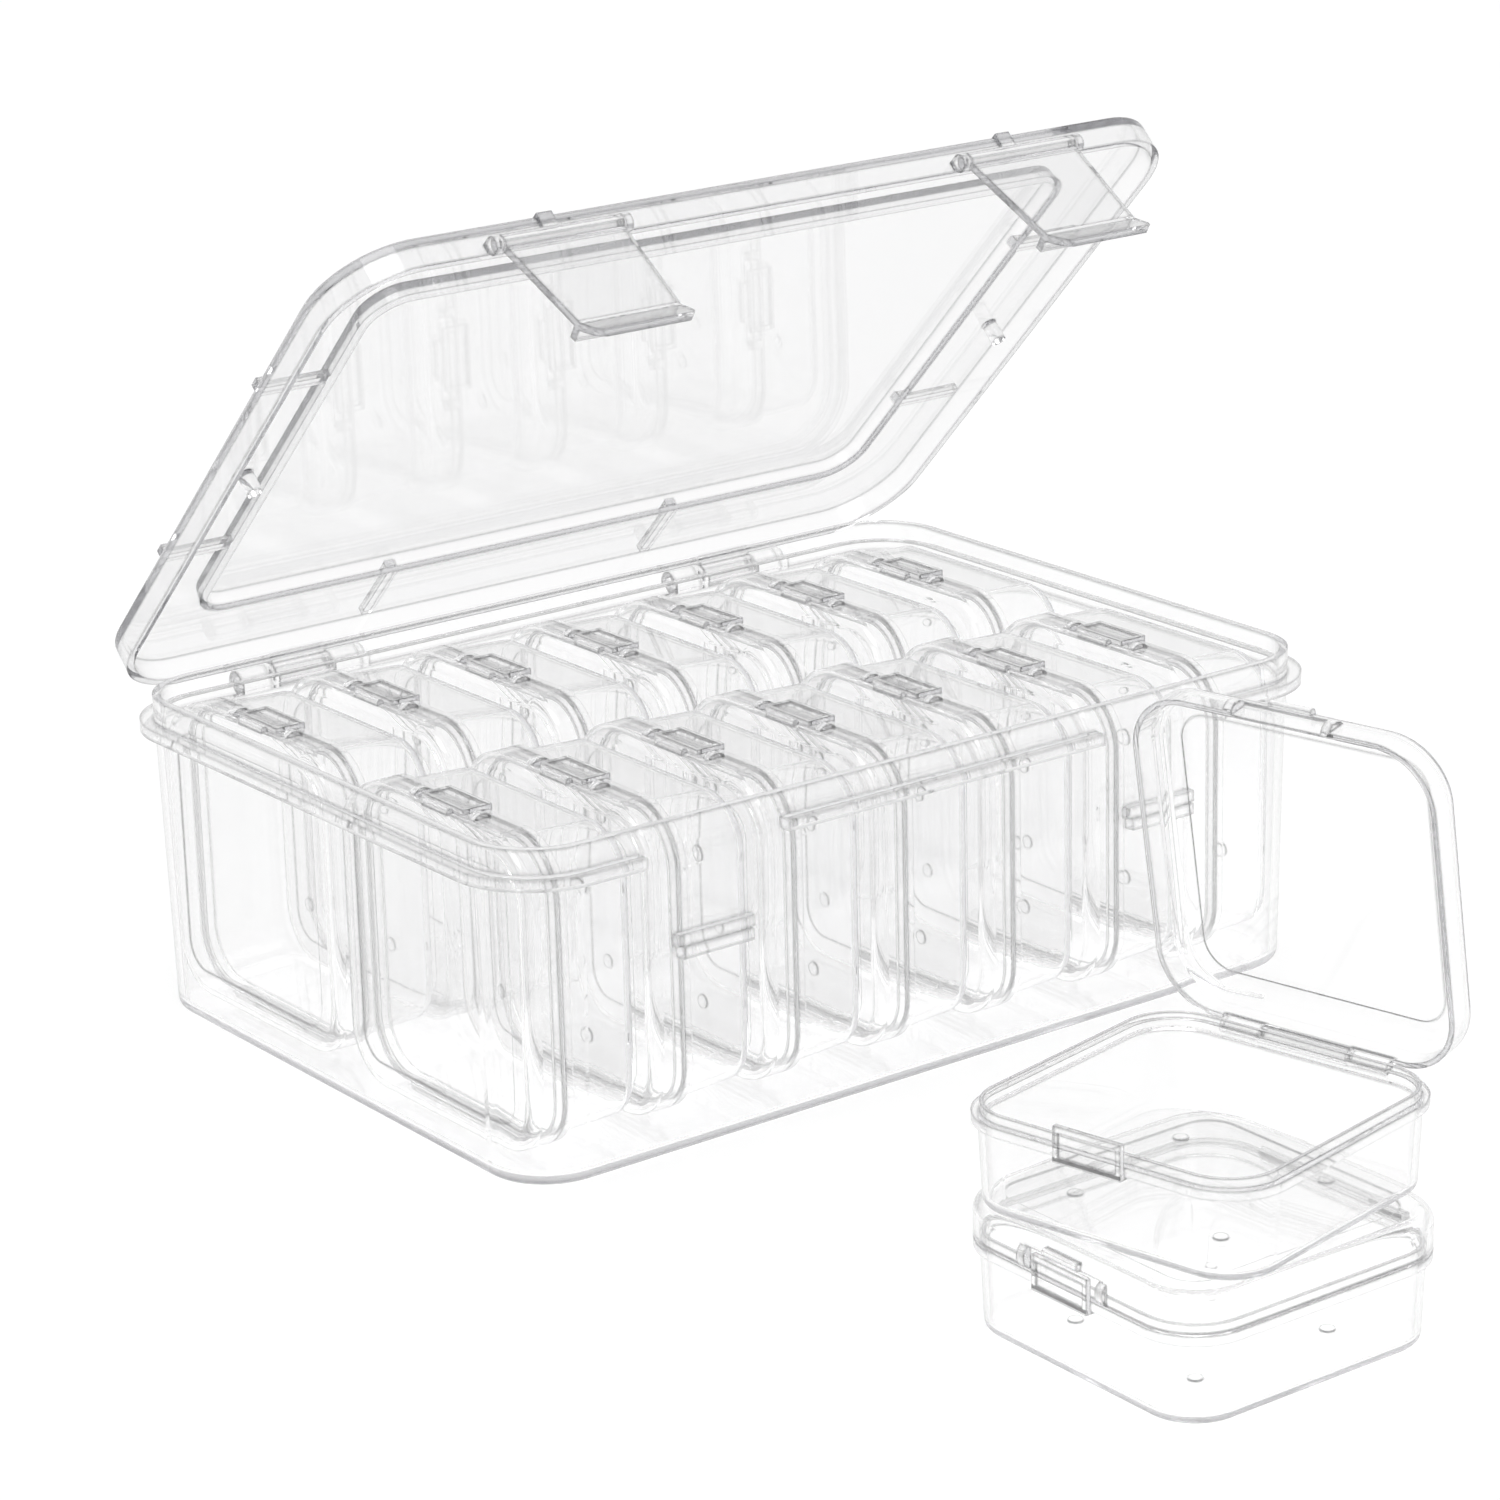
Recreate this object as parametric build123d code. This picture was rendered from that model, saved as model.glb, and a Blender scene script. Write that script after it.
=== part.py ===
from build123d import *
import os

# A clear plastic storage case with a hinged lid, two swinging latches and
# fourteen small hinged boxes standing in it, and two more boxes beside it.
# Millimetres. X runs along the long front, Y to the hinge side at the rear, Z up.
# The origin is the middle of the case's flat bottom.

# Case tub
CASE_WALL = 1.5
CASE_FLOOR = 1.5
CASE_LEAN = 1.2
END_PLAY = 2.25
SIDE_PLAY = 2.4
HEADROOM = 0.9
CASE_CORNER = 13.0
BOTTOM_ROUND = 2.0
LEDGE_DROP = 4.2
LEDGE_THICK = 2.0
LEDGE_OUT = 2.4

# Case lid
LID_OPENING = 45.5
SKIRT_GAP = 0.4
SKIRT_THICK = 1.5
SEAT_GAP = 0.3
LID_THICK = 1.4
PANEL_RISE = 3.2
CHANNEL_FRONT = 15.5
CHANNEL_REAR = 14.0
CHANNEL_END = 13.5
PANEL_CORNER = 8.0
PANEL_SLOPE = 0.8
RIB_WIDTH = 2.0
RIB_HEIGHT = 1.4
END_RIB_Y = 24.5
REAR_RIB_X = 31.0
PEG_RADIUS = 1.4
PEG_LENGTH = 4.0
PEG_INSET = 7.0

# Rear hinges of the case
HINGE_X = 47.5
HINGE_RADIUS = 2.2
HINGE_PIN = 1.0
PIN_CLEARANCE = 0.05
HINGE_STANDOFF = 2.5
CASE_KNUCKLE = 7.0
LID_KNUCKLE = 11.4
SIDE_GAP = 0.3

# Front latches and the catches that they snap under
LATCH_X = 47.5
LATCH_WIDTH = 23.0
LATCH_END_WIDTH = 18.5
LATCH_BARREL = 1.6
LATCH_PIN = 0.7
LATCH_THICK = 1.4
LATCH_TILT = 15.0
LATCH_EAR = 1.4
LIP_LENGTH = 5.0
LIP_BEND = 27.0
LIP_CORNER = 2.5
HOOK_THICK = 1.3
HOOK_GRIP = 0.8
CATCH_WIDTH = 15.5
CATCH_TOP = 38.3
CATCH_TALL = 4.0
CATCH_OUT = 2.0
CATCH_STEP = 0.7
GUSSET_WIDTH = 3.0
GUSSET_OUT = 0.8
LEDGE_OPENING_GAP = 0.8

# Small box, lying on its floor with its latch at -X and its hinge at +X
BOX_SIDE = 53.4
BOX_CORNER = 10.0
BOX_WALL = 0.9
BOX_FLOOR = 1.0
BOX_LEAN = 0.7
BASE_HEIGHT = 14.6
FLANGE_OUT = 0.9
FLANGE_TALL = 1.7
LIP_TALL = 1.4
LIP_THICK = 0.6
LIP_GAP = 0.4
BOX_PARTING = 0.3
BOX_LID_HEIGHT = 6.0
BOX_LID_WALL = 0.9
BOX_LID_TOP = 1.0
BOX_LID_ROUND = 2.2
PANEL_INSET = 5.0
PANEL_SINK = 0.3
BOX_FOOT_ROUND = 1.4
PIP_RADIUS = 1.2
PIP_TALL = 0.3
PIP_INSET = 12.0

# Latch of the small box
TAB_WIDTH = 12.0
TAB_THICK = 0.9
TAB_RISE = 3.6
TAB_ROOT = 2.0
TAB_FRAME = 0.9
TAB_SINK = 0.3
NUB_WIDTH = 7.5
NUB_OUT = 0.9
CHEEK_SPREAD = 8.6
CHEEK_THICK = 1.6
CHEEK_OUT = 0.9
LATCH_SETBACK = 0.5

# Hinge of the small box
BOX_HINGE_RADIUS = 1.0
BOX_HINGE_OUT = 0.4
BOX_PIN = 0.5
BOX_KNUCKLE = 7.0
BOX_LID_KNUCKLE = 15.4

# Places of the small boxes
BOXES_IN_ROW = 7
BOX_GAP = 2.3
ROW_GAP = 3.0
FLOOR_GAP = 0.3
LOOSE_X = -35.0
LOOSE_Y = -162.0
LOOSE_TURN = 12.0
LOOSE_SHIFT_X = 1.0
LOOSE_SHIFT_Y = 1.5
STACK_GAP = 0.3
LOOSE_LID_OPENING = 80.0

# Worked out from the sizes above: the tub's inside follows the boxes that it holds
BOX_HEIGHT = BASE_HEIGHT + BOX_PARTING + BOX_LID_HEIGHT
ROW_PITCH = BOX_HEIGHT + BOX_GAP
ROW_LENGTH = BOXES_IN_ROW * ROW_PITCH - BOX_GAP
CASE_LENGTH = ROW_LENGTH + 2 * (END_PLAY + CASE_LEAN + CASE_WALL)
CASE_WIDTH = 2 * BOX_SIDE + ROW_GAP + 2 * (SIDE_PLAY + CASE_LEAN + CASE_WALL)
STANDING_LOW = CASE_FLOOR + FLOOR_GAP
STANDING_Z = STANDING_LOW + BOX_HINGE_OUT + BOX_HINGE_RADIUS + BOX_SIDE / 2
RIM_HEIGHT = STANDING_Z + BOX_SIDE / 2 + HEADROOM
HALF_WIDTH = CASE_WIDTH / 2
LEDGE_TOP = RIM_HEIGHT - LEDGE_DROP
SKIRT_BOTTOM = LEDGE_TOP + SEAT_GAP
LID_UNDER = RIM_HEIGHT + SEAT_GAP
LID_TOP = LID_UNDER + LID_THICK
SKIRT_OUTER = SKIRT_GAP + SKIRT_THICK
HINGE_Y = HALF_WIDTH + SKIRT_OUTER + HINGE_STANDOFF
HINGE_Z = LEDGE_TOP - LEDGE_THICK / 2
LATCH_Y = -(HALF_WIDTH + SKIRT_OUTER + SIDE_GAP + LATCH_BARREL)
LATCH_Z = SKIRT_BOTTOM + SEAT_GAP
BOX_HINGE_X = BOX_SIDE / 2 + BOX_HINGE_OUT
BOX_HINGE_Z = BASE_HEIGHT + BOX_PARTING / 2
OPEN_LID = Axis((0, HINGE_Y, HINGE_Z), (-1, 0, 0))
SWING_LATCH = Axis((0, LATCH_Y, LATCH_Z), (-1, 0, 0))
OPEN_BOX = Axis((BOX_HINGE_X, 0, BOX_HINGE_Z), (0, 1, 0))


def plate(length, width, corner, z, thick):
    """A flat plate with rounded upright corners, standing on height z."""
    return Pos(0, 0, z) * extrude(RectangleRounded(length, width, corner), thick)


def tapered(length, width, corner, lean, z_low, z_high):
    """A block whose walls lean in by `lean` from its top down to its foot."""
    low = RectangleRounded(length - 2 * lean, width - 2 * lean, corner - lean)
    high = RectangleRounded(length, width, corner)
    return loft([Pos(0, 0, z_low) * low, Pos(0, 0, z_high) * high], ruled=True)


def span(x0, x1, y0, y1, z0, z1):
    """A square block between two corners."""
    middle = ((x0 + x1) / 2, (y0 + y1) / 2, (z0 + z1) / 2)
    return Pos(*middle) * Box(x1 - x0, y1 - y0, z1 - z0)


def rod_x(x0, x1, y, z, radius):
    """A round bar along X."""
    return Pos((x0 + x1) / 2, y, z) * Rot(0, 90, 0) * Cylinder(radius, x1 - x0)


def rod_y(y0, y1, x, z, radius):
    """A round bar along Y."""
    return Pos(x, (y0 + y1) / 2, z) * Rot(90, 0, 0) * Cylinder(radius, y1 - y0)


def edges_at(solid, z):
    """The edges that lie flat at height z."""
    return solid.edges().filter_by_position(Axis.Z, z - 0.001, z + 0.001)


def wall_y(z):
    """How far the case's long wall stands from the middle, at height z."""
    return HALF_WIDTH - CASE_LEAN * (1 - z / RIM_HEIGHT)


# The case tub: a leaning shell with a ledge under its rim


def catch(x):
    """The stepped bar on the front wall that a latch snaps under."""
    low = CATCH_TOP - CATCH_TALL
    face = wall_y(CATCH_TOP)
    inside = face - CASE_WALL / 2
    half = CATCH_WIDTH / 2
    middle = (low + CATCH_TOP) / 2
    upper = span(x - half, x + half, -face - CATCH_OUT + CATCH_STEP, -inside, middle, CATCH_TOP)
    lower = span(x - half + CATCH_STEP, x + half - CATCH_STEP, -face - CATCH_OUT, -inside, low, middle)
    return upper + lower


def case_hinge(x):
    """Two knuckles and their pin, moulded on the ledge."""
    inner = LID_KNUCKLE / 2 + SIDE_GAP
    outer = inner + CASE_KNUCKLE
    hinge = rod_x(x - outer, x + outer, HINGE_Y, HINGE_Z, HINGE_PIN)
    for start in (x - outer, x + inner):
        end = start + CASE_KNUCKLE
        hinge += rod_x(start, end, HINGE_Y, HINGE_Z, HINGE_RADIUS)
        low = HINGE_Z - LEDGE_THICK / 2
        hinge += span(start, end, HALF_WIDTH - CASE_WALL / 2, HINGE_Y, low, low + LEDGE_THICK)
    return hinge


def make_case_tub():
    outer = tapered(CASE_LENGTH, CASE_WIDTH, CASE_CORNER, CASE_LEAN, 0, RIM_HEIGHT)
    outer = fillet(edges_at(outer, 0), BOTTOM_ROUND)
    hollow = tapered(
        CASE_LENGTH - 2 * CASE_WALL,
        CASE_WIDTH - 2 * CASE_WALL,
        CASE_CORNER - CASE_WALL,
        CASE_LEAN,
        0,
        RIM_HEIGHT,
    )
    hollow -= plate(2 * CASE_LENGTH, 2 * CASE_WIDTH, CASE_CORNER, 0, CASE_FLOOR)
    hollow = fillet(edges_at(hollow, CASE_FLOOR), BOTTOM_ROUND - CASE_FLOOR / 2)
    ledge = plate(
        CASE_LENGTH + 2 * LEDGE_OUT,
        CASE_WIDTH + 2 * LEDGE_OUT,
        CASE_CORNER + LEDGE_OUT,
        LEDGE_TOP - LEDGE_THICK,
        LEDGE_THICK,
    )
    latch_room = LATCH_WIDTH / 2 + SIDE_GAP + LATCH_EAR + LEDGE_OPENING_GAP
    for x in (-LATCH_X, LATCH_X):
        ledge -= span(x - latch_room, x + latch_room, -CASE_WIDTH, -wall_y(LEDGE_TOP), 0, RIM_HEIGHT)
    tub = outer + ledge
    for x in (-HINGE_X, HINGE_X):
        room = LID_KNUCKLE / 2 + SIDE_GAP
        tub -= rod_x(x - room, x + room, HINGE_Y, HINGE_Z, HINGE_RADIUS + SIDE_GAP)
        tub += case_hinge(x)
    for x in (-LATCH_X, LATCH_X):
        tub += catch(x)
    return tub - hollow


# The case lid: a raised panel in a lower channel, with a skirt round it


def lid_hinge(x):
    """The lid's knuckle, which turns on the case's pin."""
    half = LID_KNUCKLE / 2
    knuckle = rod_x(x - half, x + half, HINGE_Y, HINGE_Z, HINGE_RADIUS)
    skirt_middle = HALF_WIDTH + SKIRT_GAP + SKIRT_THICK / 2
    neck_top = HINGE_Z + HINGE_RADIUS
    return knuckle + span(x - half, x + half, skirt_middle, HINGE_Y, SKIRT_BOTTOM, neck_top)


def latch_ears(x):
    """Two ears and a pin on the front skirt, which carry a latch."""
    inner = LATCH_WIDTH / 2 + SIDE_GAP
    outer = inner + LATCH_EAR
    skirt_middle = -(HALF_WIDTH + SKIRT_GAP + SKIRT_THICK / 2)
    ears = rod_x(x - outer, x + outer, LATCH_Y, LATCH_Z, LATCH_PIN)
    for start in (x - outer, x + inner):
        end = start + LATCH_EAR
        ears += rod_x(start, end, LATCH_Y, LATCH_Z, LATCH_BARREL)
        ears += span(start, end, LATCH_Y, skirt_middle, LATCH_Z, LATCH_Z + LATCH_BARREL)
    skirt_face = -(HALF_WIDTH + SKIRT_OUTER)
    gusset_low = LATCH_Z + LATCH_BARREL + SIDE_GAP
    half = GUSSET_WIDTH / 2
    gusset = span(x - half, x + half, skirt_face - GUSSET_OUT, skirt_middle, gusset_low, LID_TOP)
    return ears + gusset


def make_case_lid():
    """The lid in its closed place."""
    length = CASE_LENGTH + 2 * SKIRT_OUTER
    width = CASE_WIDTH + 2 * SKIRT_OUTER
    corner = CASE_CORNER + SKIRT_OUTER
    shell = plate(length, width, corner, SKIRT_BOTTOM, LID_TOP - SKIRT_BOTTOM)
    shell = fillet(edges_at(shell, LID_TOP), LID_THICK / 2)
    shell -= plate(
        CASE_LENGTH + 2 * SKIRT_GAP,
        CASE_WIDTH + 2 * SKIRT_GAP,
        CASE_CORNER + SKIRT_GAP,
        SKIRT_BOTTOM,
        LID_UNDER - SKIRT_BOTTOM,
    )
    panel_length = length - 2 * CHANNEL_END
    panel_width = width - CHANNEL_FRONT - CHANNEL_REAR
    panel_y = (CHANNEL_FRONT - CHANNEL_REAR) / 2
    crown = RectangleRounded(
        panel_length - 2 * PANEL_SLOPE, panel_width - 2 * PANEL_SLOPE, PANEL_CORNER - PANEL_SLOPE
    )
    foot = RectangleRounded(panel_length, panel_width, PANEL_CORNER)
    outside = [Pos(0, panel_y, LID_UNDER) * foot, Pos(0, panel_y, LID_TOP + PANEL_RISE) * crown]
    raised = loft(outside, ruled=True)
    raised = fillet(edges_at(raised, LID_TOP + PANEL_RISE), LID_THICK / 2)
    inner_foot = Pos(0, panel_y, LID_UNDER) * offset(foot, -LID_THICK)
    inner_crown = Pos(0, panel_y, LID_UNDER + PANEL_RISE) * offset(crown, -LID_THICK)
    lid = shell + raised - loft([inner_foot, inner_crown], ruled=True)
    half_length = length / 2
    half_width = width / 2
    rib_top = LID_TOP + RIB_HEIGHT
    rib_low = LID_UNDER + LID_THICK / 2
    edge = LID_THICK / 2
    reach = PANEL_SLOPE
    for y in (-END_RIB_Y, END_RIB_Y):
        y0 = y - RIB_WIDTH / 2
        y1 = y + RIB_WIDTH / 2
        lid += span(-half_length + edge, -panel_length / 2 + reach, y0, y1, rib_low, rib_top)
        lid += span(panel_length / 2 - reach, half_length - edge, y0, y1, rib_low, rib_top)
    for x in (-REAR_RIB_X, REAR_RIB_X):
        x0 = x - RIB_WIDTH / 2
        x1 = x + RIB_WIDTH / 2
        lid += span(x0, x1, panel_y + panel_width / 2 - reach, half_width - edge, rib_low, rib_top)
    for x in (-(half_length - PEG_INSET), half_length - PEG_INSET):
        peg_middle = LID_UNDER - PEG_LENGTH / 2
        lid += Pos(x, 0, peg_middle + LID_THICK / 4) * Cylinder(PEG_RADIUS, PEG_LENGTH + LID_THICK / 2)
    for x in (-HINGE_X, HINGE_X):
        room = LID_KNUCKLE / 2 + SIDE_GAP
        lid += lid_hinge(x)
        lid -= rod_x(x - room, x + room, HINGE_Y, HINGE_Z, HINGE_PIN + PIN_CLEARANCE)
    for x in (-LATCH_X, LATCH_X):
        lid += latch_ears(x)
    return lid


def make_latch(x):
    """A latch in its closed place: barrel, plate, hook and a lip bent outward."""
    hook_top = CATCH_TOP - CATCH_TALL - SIDE_GAP
    bend_z = hook_top - HOOK_THICK
    plate_out = LATCH_Y - LATCH_THICK / 2
    plate_in = LATCH_Y + LATCH_THICK / 2
    half = LATCH_WIDTH / 2
    body = span(x - half, x + half, plate_out, plate_in, bend_z, LATCH_Z)
    lip = span(x - half, x + half, plate_out, plate_in, bend_z - LIP_LENGTH, bend_z)
    knee = Axis((0, (plate_out + plate_in) / 2, bend_z), (-1, 0, 0))
    body += lip.rotate(knee, LIP_BEND)
    body += rod_x(x - half, x + half, LATCH_Y, bend_z, LATCH_THICK / 2)
    catch_face = -wall_y(CATCH_TOP) - CATCH_OUT
    body += span(x - half, x + half, plate_in - LATCH_THICK / 2, catch_face + HOOK_GRIP, bend_z, hook_top)
    end_z = bend_z - LIP_LENGTH
    end_half = LATCH_END_WIDTH / 2
    outline = make_face(
        Polyline(
            (x - half, LATCH_Z),
            (x - end_half, end_z),
            (x + end_half, end_z),
            (x + half, LATCH_Z),
            close=True,
        )
    )
    outline = fillet(outline.vertices().filter_by_position(Axis.Y, end_z - 1, end_z + 1), LIP_CORNER)
    depth = 2 * LATCH_WIDTH
    trim = Pos(0, LATCH_Y, 0) * Rot(90, 0, 0) * extrude(outline, depth, both=True)
    body = body & trim
    body += rod_x(x - half, x + half, LATCH_Y, LATCH_Z, LATCH_BARREL)
    return body - rod_x(x - half, x + half, LATCH_Y, LATCH_Z, LATCH_PIN + PIN_CLEARANCE)


# The small box, in its own frame: floor at height 0, latch at -X, hinge at +X


def make_box_base():
    rim = BOX_SIDE - 2 * FLANGE_OUT
    rim_corner = BOX_CORNER - FLANGE_OUT
    body = tapered(rim, rim, rim_corner, BOX_LEAN, 0, BASE_HEIGHT)
    body = fillet(edges_at(body, 0), BOX_FOOT_ROUND)
    flange = plate(BOX_SIDE, BOX_SIDE, BOX_CORNER, BASE_HEIGHT - FLANGE_TALL, FLANGE_TALL)
    flange = fillet(edges_at(flange, BASE_HEIGHT - FLANGE_TALL), FLANGE_OUT / 2)
    lip_side = BOX_SIDE - 2 * (BOX_LID_WALL + LIP_GAP)
    lip_corner = BOX_CORNER - BOX_LID_WALL - LIP_GAP
    lip_low = BASE_HEIGHT - FLANGE_TALL
    lip = plate(lip_side, lip_side, lip_corner, lip_low, FLANGE_TALL + LIP_TALL)
    hollow_side = lip_side - 2 * LIP_THICK
    hollow_corner = lip_corner - LIP_THICK
    hollow = tapered(hollow_side, hollow_side, hollow_corner, BOX_LEAN, 0, BASE_HEIGHT)
    hollow -= plate(2 * BOX_SIDE, 2 * BOX_SIDE, BOX_CORNER, 0, BOX_FLOOR)
    hollow = fillet(edges_at(hollow, BOX_FLOOR), BOX_FOOT_ROUND - BOX_FLOOR / 2)
    hollow += plate(hollow_side, hollow_side, hollow_corner, BASE_HEIGHT, LIP_TALL)
    base = body + flange + lip
    half_lid = BOX_LID_KNUCKLE / 2 + SIDE_GAP
    relief = BOX_HINGE_RADIUS + SIDE_GAP
    base -= rod_y(-half_lid, half_lid, BOX_HINGE_X, BOX_HINGE_Z, relief)
    outer = half_lid + BOX_KNUCKLE
    base += rod_y(-outer, outer, BOX_HINGE_X, BOX_HINGE_Z, BOX_PIN)
    for start in (-outer, half_lid):
        end = start + BOX_KNUCKLE
        base += rod_y(start, end, BOX_HINGE_X, BOX_HINGE_Z, BOX_HINGE_RADIUS)
        neck_low = BASE_HEIGHT - FLANGE_TALL + FLANGE_OUT
        base += span(BOX_SIDE / 2 - FLANGE_OUT, BOX_HINGE_X, start, end, neck_low, BOX_HINGE_Z)
    face = -BOX_SIDE / 2 - FLANGE_OUT
    tab_low = BASE_HEIGHT - TAB_ROOT
    tab_top = BASE_HEIGHT + TAB_RISE
    half_tab = TAB_WIDTH / 2
    base += span(face, face + TAB_THICK, -half_tab, half_tab, tab_low, tab_top)
    base += span(face, -BOX_SIDE / 2 + FLANGE_OUT, -half_tab, half_tab, tab_low, BASE_HEIGHT)
    half_in = half_tab - TAB_FRAME
    base -= span(face, face + TAB_SINK, -half_in, half_in, tab_low + TAB_FRAME, tab_top - TAB_FRAME)
    base -= hollow
    pip_place = hollow_side / 2 - PIP_INSET
    for x in (-pip_place, pip_place):
        for y in (-pip_place, pip_place):
            base += Pos(x, y, BOX_FLOOR) * Cylinder(PIP_RADIUS, 2 * PIP_TALL)
    return base


def make_box_lid():
    """The small box's lid in its closed place."""
    low = BASE_HEIGHT + BOX_PARTING
    top = low + BOX_LID_HEIGHT
    lid = plate(BOX_SIDE, BOX_SIDE, BOX_CORNER, low, BOX_LID_HEIGHT)
    lid = fillet(edges_at(lid, top), BOX_LID_ROUND)
    inner_side = BOX_SIDE - 2 * BOX_LID_WALL
    inner_corner = BOX_CORNER - BOX_LID_WALL
    hollow = plate(inner_side, inner_side, inner_corner, low, BOX_LID_HEIGHT - BOX_LID_TOP)
    hollow = fillet(edges_at(hollow, top - BOX_LID_TOP), BOX_LID_ROUND - BOX_LID_WALL)
    panel_side = BOX_SIDE - 2 * PANEL_INSET
    panel_corner = BOX_CORNER - PANEL_INSET
    lid -= plate(panel_side, panel_side, panel_corner, top - PANEL_SINK, PANEL_SINK)
    face = -BOX_SIDE / 2
    half_gap = CHEEK_SPREAD
    nub_low = BASE_HEIGHT + TAB_RISE + SIDE_GAP
    lid -= span(face, face + LATCH_SETBACK, -half_gap, half_gap, low, nub_low)
    half_nub = NUB_WIDTH / 2
    nub_radius = (top - BOX_LID_ROUND / 2 - nub_low) / 2
    nub_z = nub_low + nub_radius
    nub = rod_y(-half_nub, half_nub, face - NUB_OUT + nub_radius, nub_z, nub_radius)
    nub_top = nub_z + nub_radius
    nub += span(face - NUB_OUT + nub_radius, face + BOX_LID_WALL, -half_nub, half_nub, nub_low, nub_top)
    lid += nub
    for y in (-CHEEK_SPREAD, CHEEK_SPREAD):
        cheek_z = (low + nub_low) / 2
        cheek_reach = CHEEK_OUT + BOX_LID_WALL / 2
        cheek = Pos(face + BOX_LID_WALL / 2, y, cheek_z) * Rot(90, 0, 0) * extrude(
            Ellipse(cheek_reach, (nub_low - low) / 2), CHEEK_THICK / 2, both=True
        )
        lid += cheek
    half_lid = BOX_LID_KNUCKLE / 2
    outer = half_lid + SIDE_GAP + BOX_KNUCKLE + SIDE_GAP
    relief = BOX_HINGE_RADIUS + SIDE_GAP
    lid -= rod_y(-outer, -half_lid, BOX_HINGE_X, BOX_HINGE_Z, relief)
    lid -= rod_y(half_lid, outer, BOX_HINGE_X, BOX_HINGE_Z, relief)
    lid += rod_y(-half_lid, half_lid, BOX_HINGE_X, BOX_HINGE_Z, BOX_HINGE_RADIUS)
    lid -= rod_y(-half_lid, half_lid, BOX_HINGE_X, BOX_HINGE_Z, BOX_PIN + PIN_CLEARANCE)
    return lid - hollow


# The small boxes stand on their hinges, lids towards -X, latches up
STAND_UP = Rot(0, -90, 0) * Rot(0, 0, 180)


def standing_place(row_y, number):
    """Where small box `number` of a row has its middle, on its floor plane."""
    first_x = -(BOXES_IN_ROW - 1) * ROW_PITCH / 2
    x = first_x + number * ROW_PITCH + BOX_HEIGHT / 2
    return Pos(x, row_y, STANDING_Z) * STAND_UP


def save(solid, name):
    solid.label = name
    export_step(solid, f"parts/{name}.step")


os.makedirs("parts", exist_ok=True)
save(make_case_tub(), "case_tub")
save(make_case_lid().rotate(OPEN_LID, LID_OPENING), "case_lid")
for side, place_x in (("left", -LATCH_X), ("right", LATCH_X)):
    latch = make_latch(place_x).rotate(SWING_LATCH, LATCH_TILT)
    save(latch.rotate(OPEN_LID, LID_OPENING), f"latch_{side}")

box_base = make_box_base()
box_lid = make_box_lid()
row_middle = (BOX_SIDE + ROW_GAP) / 2
for row, row_y in (("front", -row_middle), ("back", row_middle)):
    for number in range(BOXES_IN_ROW):
        place = standing_place(row_y, number)
        save(place * box_base, f"box_{row}_{number + 1}_base")
        save(place * box_lid, f"box_{row}_{number + 1}_lid")

lower_place = Pos(LOOSE_X, LOOSE_Y, 0)
save(lower_place * box_base, "loose_lower_base")
save(lower_place * box_lid, "loose_lower_lid")
stack_z = BOX_HEIGHT + STACK_GAP
upper_place = Pos(LOOSE_X + LOOSE_SHIFT_X, LOOSE_Y + LOOSE_SHIFT_Y, stack_z) * Rot(0, 0, LOOSE_TURN)
save(upper_place * box_base, "loose_upper_base")
save(upper_place * box_lid.rotate(OPEN_BOX, LOOSE_LID_OPENING), "loose_upper_lid")
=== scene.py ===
import math

import bpy
from mathutils import Matrix, Vector

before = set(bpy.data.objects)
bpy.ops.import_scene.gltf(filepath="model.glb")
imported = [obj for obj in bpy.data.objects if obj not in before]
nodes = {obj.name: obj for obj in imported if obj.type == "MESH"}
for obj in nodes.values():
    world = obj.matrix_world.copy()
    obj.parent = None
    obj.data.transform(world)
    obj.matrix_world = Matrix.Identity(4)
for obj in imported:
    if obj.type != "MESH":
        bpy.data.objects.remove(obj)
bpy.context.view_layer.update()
bpy.ops.object.select_all(action="DESELECT")


# Case tub.
# One thin clear shell, injection moulded in polished styrene, with its ledge, catches and hinge knuckles
# moulded on. It has the faint waves and hairline scuffs of a thin polished moulding.
def new_group(name, inputs, outputs):
    group = bpy.data.node_groups.new(name, "ShaderNodeTree")
    for label in inputs:
        group.interface.new_socket(label, in_out="INPUT", socket_type="NodeSocketFloat")
    for label in outputs:
        group.interface.new_socket(label, in_out="OUTPUT", socket_type="NodeSocketFloat")
    start = group.nodes.new("NodeGroupInput")
    end = group.nodes.new("NodeGroupOutput")
    return group, start, end


def math_node(tree, operation, first, second):
    node = tree.nodes.new("ShaderNodeMath")
    node.operation = operation
    for socket, value in zip(node.inputs, (first, second)):
        if isinstance(value, bpy.types.NodeSocket):
            tree.links.new(value, socket)
        else:
            socket.default_value = value
    return node.outputs[0]


def noise_node(tree, place, scale, detail, roughness):
    node = tree.nodes.new("ShaderNodeTexNoise")
    node.inputs["Detail"].default_value = detail
    node.inputs["Roughness"].default_value = roughness
    tree.links.new(place, node.inputs["Vector"])
    if isinstance(scale, bpy.types.NodeSocket):
        tree.links.new(scale, node.inputs["Scale"])
    else:
        node.inputs["Scale"].default_value = scale
    return node.outputs["Fac"]


# The moulded surface has slow sink waves and a few hairline scuffs, and the group also makes a mask that
# picks out sharp edges for painted shade on the rims.
SCUFF_STRETCH = (1.0, 9.0, 9.0)
SCUFF_TURN = (0.4, 0.7, 0.9)
SCUFFS_PER_METRE = 260.0
SCUFF_CUTOFF = 0.66
SCUFF_ROUGHNESS = 0.12
EDGE_SAMPLES = 4
EDGE_SHADE_GAIN = 5.0
moulding, inside, outside = new_group(
    "moulded_surface_and_edge_shade",
    ["Waves per Metre", "Scuffs", "Edge Reach"],
    ["Height", "Roughness", "Edge Shade"],
)
place = moulding.nodes.new("ShaderNodeTexCoord").outputs["Object"]
waves = noise_node(moulding, place, inside.outputs["Waves per Metre"], detail=0.0, roughness=0.5)
stretch = moulding.nodes.new("ShaderNodeMapping")
stretch.inputs["Scale"].default_value = SCUFF_STRETCH
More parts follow.
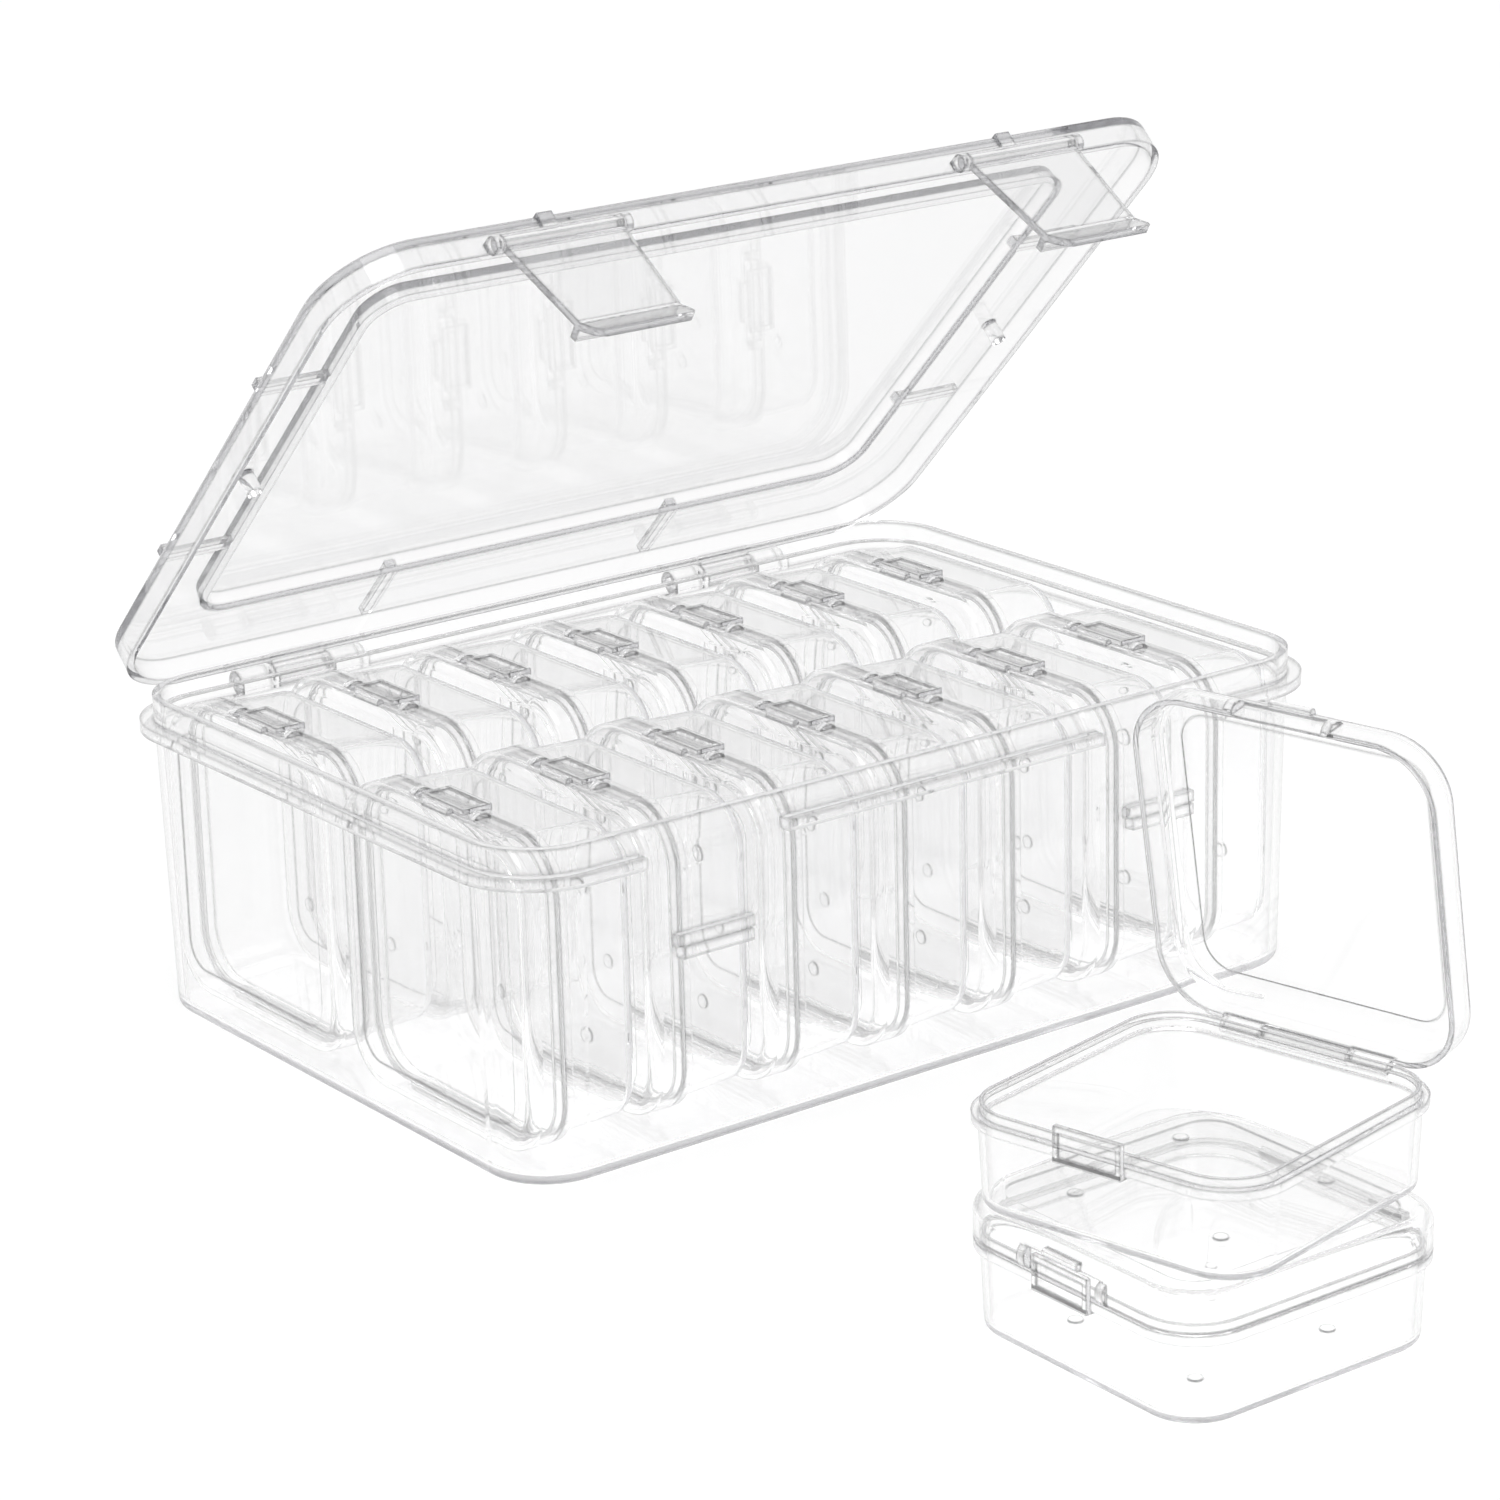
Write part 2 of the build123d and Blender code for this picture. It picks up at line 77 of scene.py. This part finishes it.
stretch.inputs["Rotation"].default_value = SCUFF_TURN
moulding.links.new(place, stretch.inputs["Vector"])
scratches = noise_node(moulding, stretch.outputs["Vector"], SCUFFS_PER_METRE, detail=1.0, roughness=0.7)
hairlines = math_node(moulding, "GREATER_THAN", scratches, SCUFF_CUTOFF)
scuffs = math_node(moulding, "MULTIPLY", hairlines, inside.outputs["Scuffs"])
moulding.links.new(waves, outside.inputs["Height"])
# Painted shade mask: it is one on sharp rims, where the colour is painted grey.
rounded = moulding.nodes.new("ShaderNodeBevel")
rounded.samples = EDGE_SAMPLES
moulding.links.new(inside.outputs["Edge Reach"], rounded.inputs["Radius"])
agree = moulding.nodes.new("ShaderNodeVectorMath")
agree.operation = "DOT_PRODUCT"
moulding.links.new(rounded.outputs["Normal"], agree.inputs[0])
moulding.links.new(moulding.nodes.new("ShaderNodeNewGeometry").outputs["Normal"], agree.inputs[1])
bend = math_node(moulding, "SUBTRACT", 1.0, agree.outputs["Value"])
bend = math_node(moulding, "MULTIPLY", bend, EDGE_SHADE_GAIN)
moulding.links.new(math_node(moulding, "MINIMUM", bend, 1.0), outside.inputs["Edge Shade"])
moulding.links.new(math_node(moulding, "MULTIPLY", scuffs, SCUFF_ROUGHNESS), outside.inputs["Roughness"])

# Each surface lets most light through to a shadow, and a ray that has met twelve surfaces goes nearly
# straight on.
STYRENE_IOR = 1.5
STYRENE_TINT = (0.88, 0.88, 0.885)
STYRENE_FACE = (0.997, 0.997, 0.997)
SHADOW_CLEARNESS = 0.97
DEEP_RAY = 12


def clear_plastic(
    name, face, painted_edge_shade, edge_shade_power, edge_shade_strength, edge_shade_reach, wave_depth, waves_per_metre, scuffs, density
):
    """Clear moulded plastic: a polished dielectric whose colour is painted grey as shade where it is seen
    side-on and on sharp rims.
    """
    material = bpy.data.materials.new(name)
    material.use_nodes = True
    tree = material.node_tree
    shader = tree.nodes["Principled BSDF"]
    shader.inputs["IOR"].default_value = STYRENE_IOR
    shader.inputs["Transmission Weight"].default_value = 1.0
    surface = tree.nodes.new("ShaderNodeGroup")
    surface.node_tree = moulding
    surface.inputs["Waves per Metre"].default_value = waves_per_metre
    surface.inputs["Scuffs"].default_value = scuffs
    surface.inputs["Edge Reach"].default_value = edge_shade_reach
    # Painted shade: the colour runs from the near-white face to a dark grey where the surface is seen
    # side-on and on sharp rims.
    weight = tree.nodes.new("ShaderNodeLayerWeight")
    weight.inputs["Blend"].default_value = 0.5
    side_on_shade = math_node(tree, "POWER", weight.outputs["Facing"], edge_shade_power)
    colour = tree.nodes.new("ShaderNodeMix")
    colour.data_type = "RGBA"
    colour.inputs["A"].default_value = (*face, 1.0)
    colour.inputs["B"].default_value = (*painted_edge_shade, 1.0)
    painted_shade_mask = math_node(tree, "MULTIPLY", surface.outputs["Edge Shade"], edge_shade_strength)
    painted_shade_mask = math_node(tree, "MAXIMUM", painted_shade_mask, side_on_shade)
    tree.links.new(painted_shade_mask, colour.inputs["Factor"])
    tree.links.new(colour.outputs["Result"], shader.inputs["Base Color"])
    tree.links.new(surface.outputs["Roughness"], shader.inputs["Roughness"])
    bump = tree.nodes.new("ShaderNodeBump")
    bump.inputs["Distance"].default_value = wave_depth
    tree.links.new(surface.outputs["Height"], bump.inputs["Height"])
    tree.links.new(bump.outputs["Normal"], shader.inputs["Normal"])
    light = tree.nodes.new("ShaderNodeLightPath")
    deep = math_node(tree, "GREATER_THAN", light.outputs["Ray Depth"], DEEP_RAY - 0.5)
    fade = math_node(tree, "MAXIMUM", light.outputs["Is Shadow Ray"], deep)
    fade = math_node(tree, "MULTIPLY", fade, SHADOW_CLEARNESS)
    tree.links.new(math_node(tree, "SUBTRACT", 1.0, fade), shader.inputs["Alpha"])
    absorb = tree.nodes.new("ShaderNodeVolumeAbsorption")
    absorb.inputs["Color"].default_value = (*STYRENE_TINT, 1.0)
    absorb.inputs["Density"].default_value = density
    tree.links.new(absorb.outputs["Volume"], tree.nodes["Material Output"].inputs["Volume"])
    return material


def dress(node_name, material):
    for slot in nodes[node_name].material_slots:
        slot.material = material


tub_plastic = clear_plastic(
    "tub_plastic",
    face=STYRENE_FACE,
    # The colour painted as shade on rims and side-on walls.
    painted_edge_shade=(0.1, 0.1, 0.103),
    edge_shade_power=4.5,
    edge_shade_strength=0.8,
    edge_shade_reach=0.0012,
    wave_depth=0.00002,
    waves_per_metre=45.0,
    scuffs=0.5,
    density=35.0,
)
dress("case_tub", tub_plastic)

# Case lid.
# The same styrene as the tub, in one moulding with its raised panel, ribs, pegs and knuckles. Hands and
# table tops scuff it the most, so its hairlines are the roughest.
lid_plastic = clear_plastic(
    "lid_plastic",
    face=STYRENE_FACE,
    # The colour painted as shade on rims and side-on walls.
    painted_edge_shade=(0.07, 0.07, 0.073),
    edge_shade_power=4.5,
    edge_shade_strength=0.9,
    edge_shade_reach=0.0008,
    wave_depth=0.00003,
    waves_per_metre=35.0,
    scuffs=0.8,
    density=180.0,
)
dress("case_lid", lid_plastic)

# Latches.
# Two thicker clear tongues that clip on the lid's pins and snap under the tub's catches. They are a little
# greyer than the walls, because their plate is thick and their hooks catch the light, and their painted
# shade spreads further in from the side-on parts.
latch_plastic = clear_plastic(
    "latch_plastic",
    face=(0.985, 0.985, 0.986),
    painted_edge_shade=(0.08, 0.08, 0.083),
    # The colour painted as shade on rims and side-on walls.
    edge_shade_power=3.0,
    edge_shade_strength=0.9,
    edge_shade_reach=0.0009,
    wave_depth=0.00002,
    waves_per_metre=90.0,
    scuffs=0.5,
    density=140.0,
)
for side in ("left", "right"):
    dress(f"latch_{side}", latch_plastic)

# Small boxes.
# Thin-walled snap boxes of clear styrene, each a base and a lid. Their walls are thin, so only their rims
# and round corners show, greyed by painted shade.
box_plastic = clear_plastic(
    "box_plastic",
    face=STYRENE_FACE,
    # The colour painted as shade on rims and side-on walls.
    painted_edge_shade=(0.08, 0.08, 0.082),
    edge_shade_power=5.0,
    edge_shade_strength=0.95,
    edge_shade_reach=0.0007,
    wave_depth=0.00001,
    waves_per_metre=80.0,
    scuffs=0.4,
    density=60.0,
)
for name in nodes:
    if name.startswith(("box_", "loose_")):
        dress(name, box_plastic)

# Studio.
# A pale matt floor and a white room. To the eye, and through the clear plastic, both come up to about
# white, while the light that they throw on the object stays plain.
FLOOR_SIZE = 12.0
FLOOR_DROP = 0.0001
FLOOR_PAINT = (0.8, 0.8, 0.8, 1)
FLOOR_ROUGHNESS = 0.9
FLOOR_GLOW = 0.3
ROOM_LIGHT = 0.55
WHITE = (1, 1, 1, 1)


def seen_mask(tree):
    """One where a surface is seen straight, reflected or through clear plastic, and zero elsewhere."""
    path = tree.nodes.new("ShaderNodeLightPath")
    seen = math_node(tree, "ADD", path.outputs["Is Camera Ray"], path.outputs["Is Glossy Ray"])
    seen = math_node(tree, "ADD", seen, path.outputs["Is Transmission Ray"])
    return math_node(tree, "MINIMUM", seen, 1.0)


bpy.ops.mesh.primitive_plane_add(size=FLOOR_SIZE, location=(0, 0, -FLOOR_DROP))
floor = bpy.context.object
floor.name = "studio_floor"
floor_paint = bpy.data.materials.new("floor_paint")
floor_paint.use_nodes = True
tree = floor_paint.node_tree
shader = tree.nodes["Principled BSDF"]
shader.inputs["Base Color"].default_value = FLOOR_PAINT
shader.inputs["Roughness"].default_value = FLOOR_ROUGHNESS
shader.inputs["Specular IOR Level"].default_value = 0.0
shader.inputs["Emission Color"].default_value = WHITE
glow = math_node(tree, "MULTIPLY", seen_mask(tree), FLOOR_GLOW)
tree.links.new(glow, shader.inputs["Emission Strength"])
floor.data.materials.append(floor_paint)

world = bpy.data.worlds.new("studio")
bpy.context.scene.world = world
world.use_nodes = True
world.cycles.sampling_method = "NONE"
tree = world.node_tree
backdrop = tree.nodes["Background"]
backdrop.inputs["Color"].default_value = WHITE
gain = math_node(tree, "MULTIPLY", seen_mask(tree), 1.0 - ROOM_LIGHT)
tree.links.new(math_node(tree, "ADD", gain, ROOM_LIGHT), backdrop.inputs["Strength"])

# A weak softbox fills from the left and casts no shadow. The broad sun overhead casts the soft shadow.
SOFTBOX_PLACE = Vector((-1.1, -0.5, 0.6))
SOFTBOX_AIM = Vector((0, 0, 0.05))
SOFTBOX_SIDE = 0.7
SOFTBOX_WATTS = 2.0
softbox = bpy.data.lights.new("softbox_left", "AREA")
softbox.shape = "RECTANGLE"
softbox.size = SOFTBOX_SIDE
softbox.size_y = SOFTBOX_SIDE
softbox.energy = SOFTBOX_WATTS
softbox.use_shadow = False
softbox_lamp = bpy.data.objects.new("softbox_left", softbox)
bpy.context.scene.collection.objects.link(softbox_lamp)
softbox_lamp.location = SOFTBOX_PLACE
softbox_lamp.rotation_euler = (SOFTBOX_AIM - SOFTBOX_PLACE).to_track_quat("-Z", "Y").to_euler()

OVERHEAD_STRENGTH = 1.1
OVERHEAD_SPREAD = math.radians(40)
OVERHEAD_TURN = (math.radians(12), math.radians(-14), 0)
overhead = bpy.data.lights.new("overhead", "SUN")
overhead.energy = OVERHEAD_STRENGTH
overhead.angle = OVERHEAD_SPREAD
overhead_lamp = bpy.data.objects.new("overhead", overhead)
bpy.context.scene.collection.objects.link(overhead_lamp)
overhead_lamp.rotation_euler = OVERHEAD_TURN

# Camera.
# A long lens at the photograph's angle, rolled a little, that looks at the case's middle. FOCAL_PIXELS,
# TARGET_LEFT and TARGET_BELOW are pixels of the 1500 by 1500 frame.
CAMERA_TURN = math.radians(-36.339)
CAMERA_RISE = math.radians(18.164)
CAMERA_ROLL = math.radians(-1.576)
CAMERA_DISTANCE = 0.8266
CAMERA_TARGET = Vector((0.000528, 0.0, 0.041809))
PHOTO_PIXELS = 1500.0
FOCAL_PIXELS = 4721.4
TARGET_LEFT = 21.94
TARGET_BELOW = 2.49
SENSOR = 36.0
NEAR_CLIP = 0.01
level = math.cos(CAMERA_RISE)
away = Vector((math.sin(CAMERA_TURN) * level, -math.cos(CAMERA_TURN) * level, math.sin(CAMERA_RISE)))
forward = -away
right = forward.cross(Vector((0, 0, 1))).normalized()
up = right.cross(forward)
rolled_right = math.cos(CAMERA_ROLL) * right + math.sin(CAMERA_ROLL) * up
rolled_up = math.cos(CAMERA_ROLL) * up - math.sin(CAMERA_ROLL) * right
camera_place = CAMERA_TARGET + away * CAMERA_DISTANCE
aim_shift = rolled_right * TARGET_LEFT + rolled_up * TARGET_BELOW
aim = CAMERA_TARGET + CAMERA_DISTANCE / FOCAL_PIXELS * aim_shift
look = (aim - camera_place).normalized()
camera_right = (rolled_right - rolled_right.dot(look) * look).normalized()
camera_data = bpy.data.cameras.new("camera")
camera_data.sensor_width = SENSOR
camera_data.lens = FOCAL_PIXELS / PHOTO_PIXELS * SENSOR
camera_data.clip_start = NEAR_CLIP
camera = bpy.data.objects.new("camera", camera_data)
bpy.context.scene.collection.objects.link(camera)
camera_turn = Matrix((camera_right, camera_right.cross(look), -look)).transposed()
camera.matrix_world = Matrix.Translation(camera_place) @ camera_turn.to_4x4()
bpy.context.scene.camera = camera

# A ray to the back row meets many clear walls, so it may bounce often.
WALL_BOUNCES = 28
GLOSSY_BOUNCES = 16
CLEAR_BOUNCES = 128
scene = bpy.context.scene
scene.view_settings.view_transform = "Standard"
scene.cycles.max_bounces = WALL_BOUNCES
scene.cycles.transmission_bounces = WALL_BOUNCES
scene.cycles.glossy_bounces = GLOSSY_BOUNCES
scene.cycles.transparent_max_bounces = CLEAR_BOUNCES
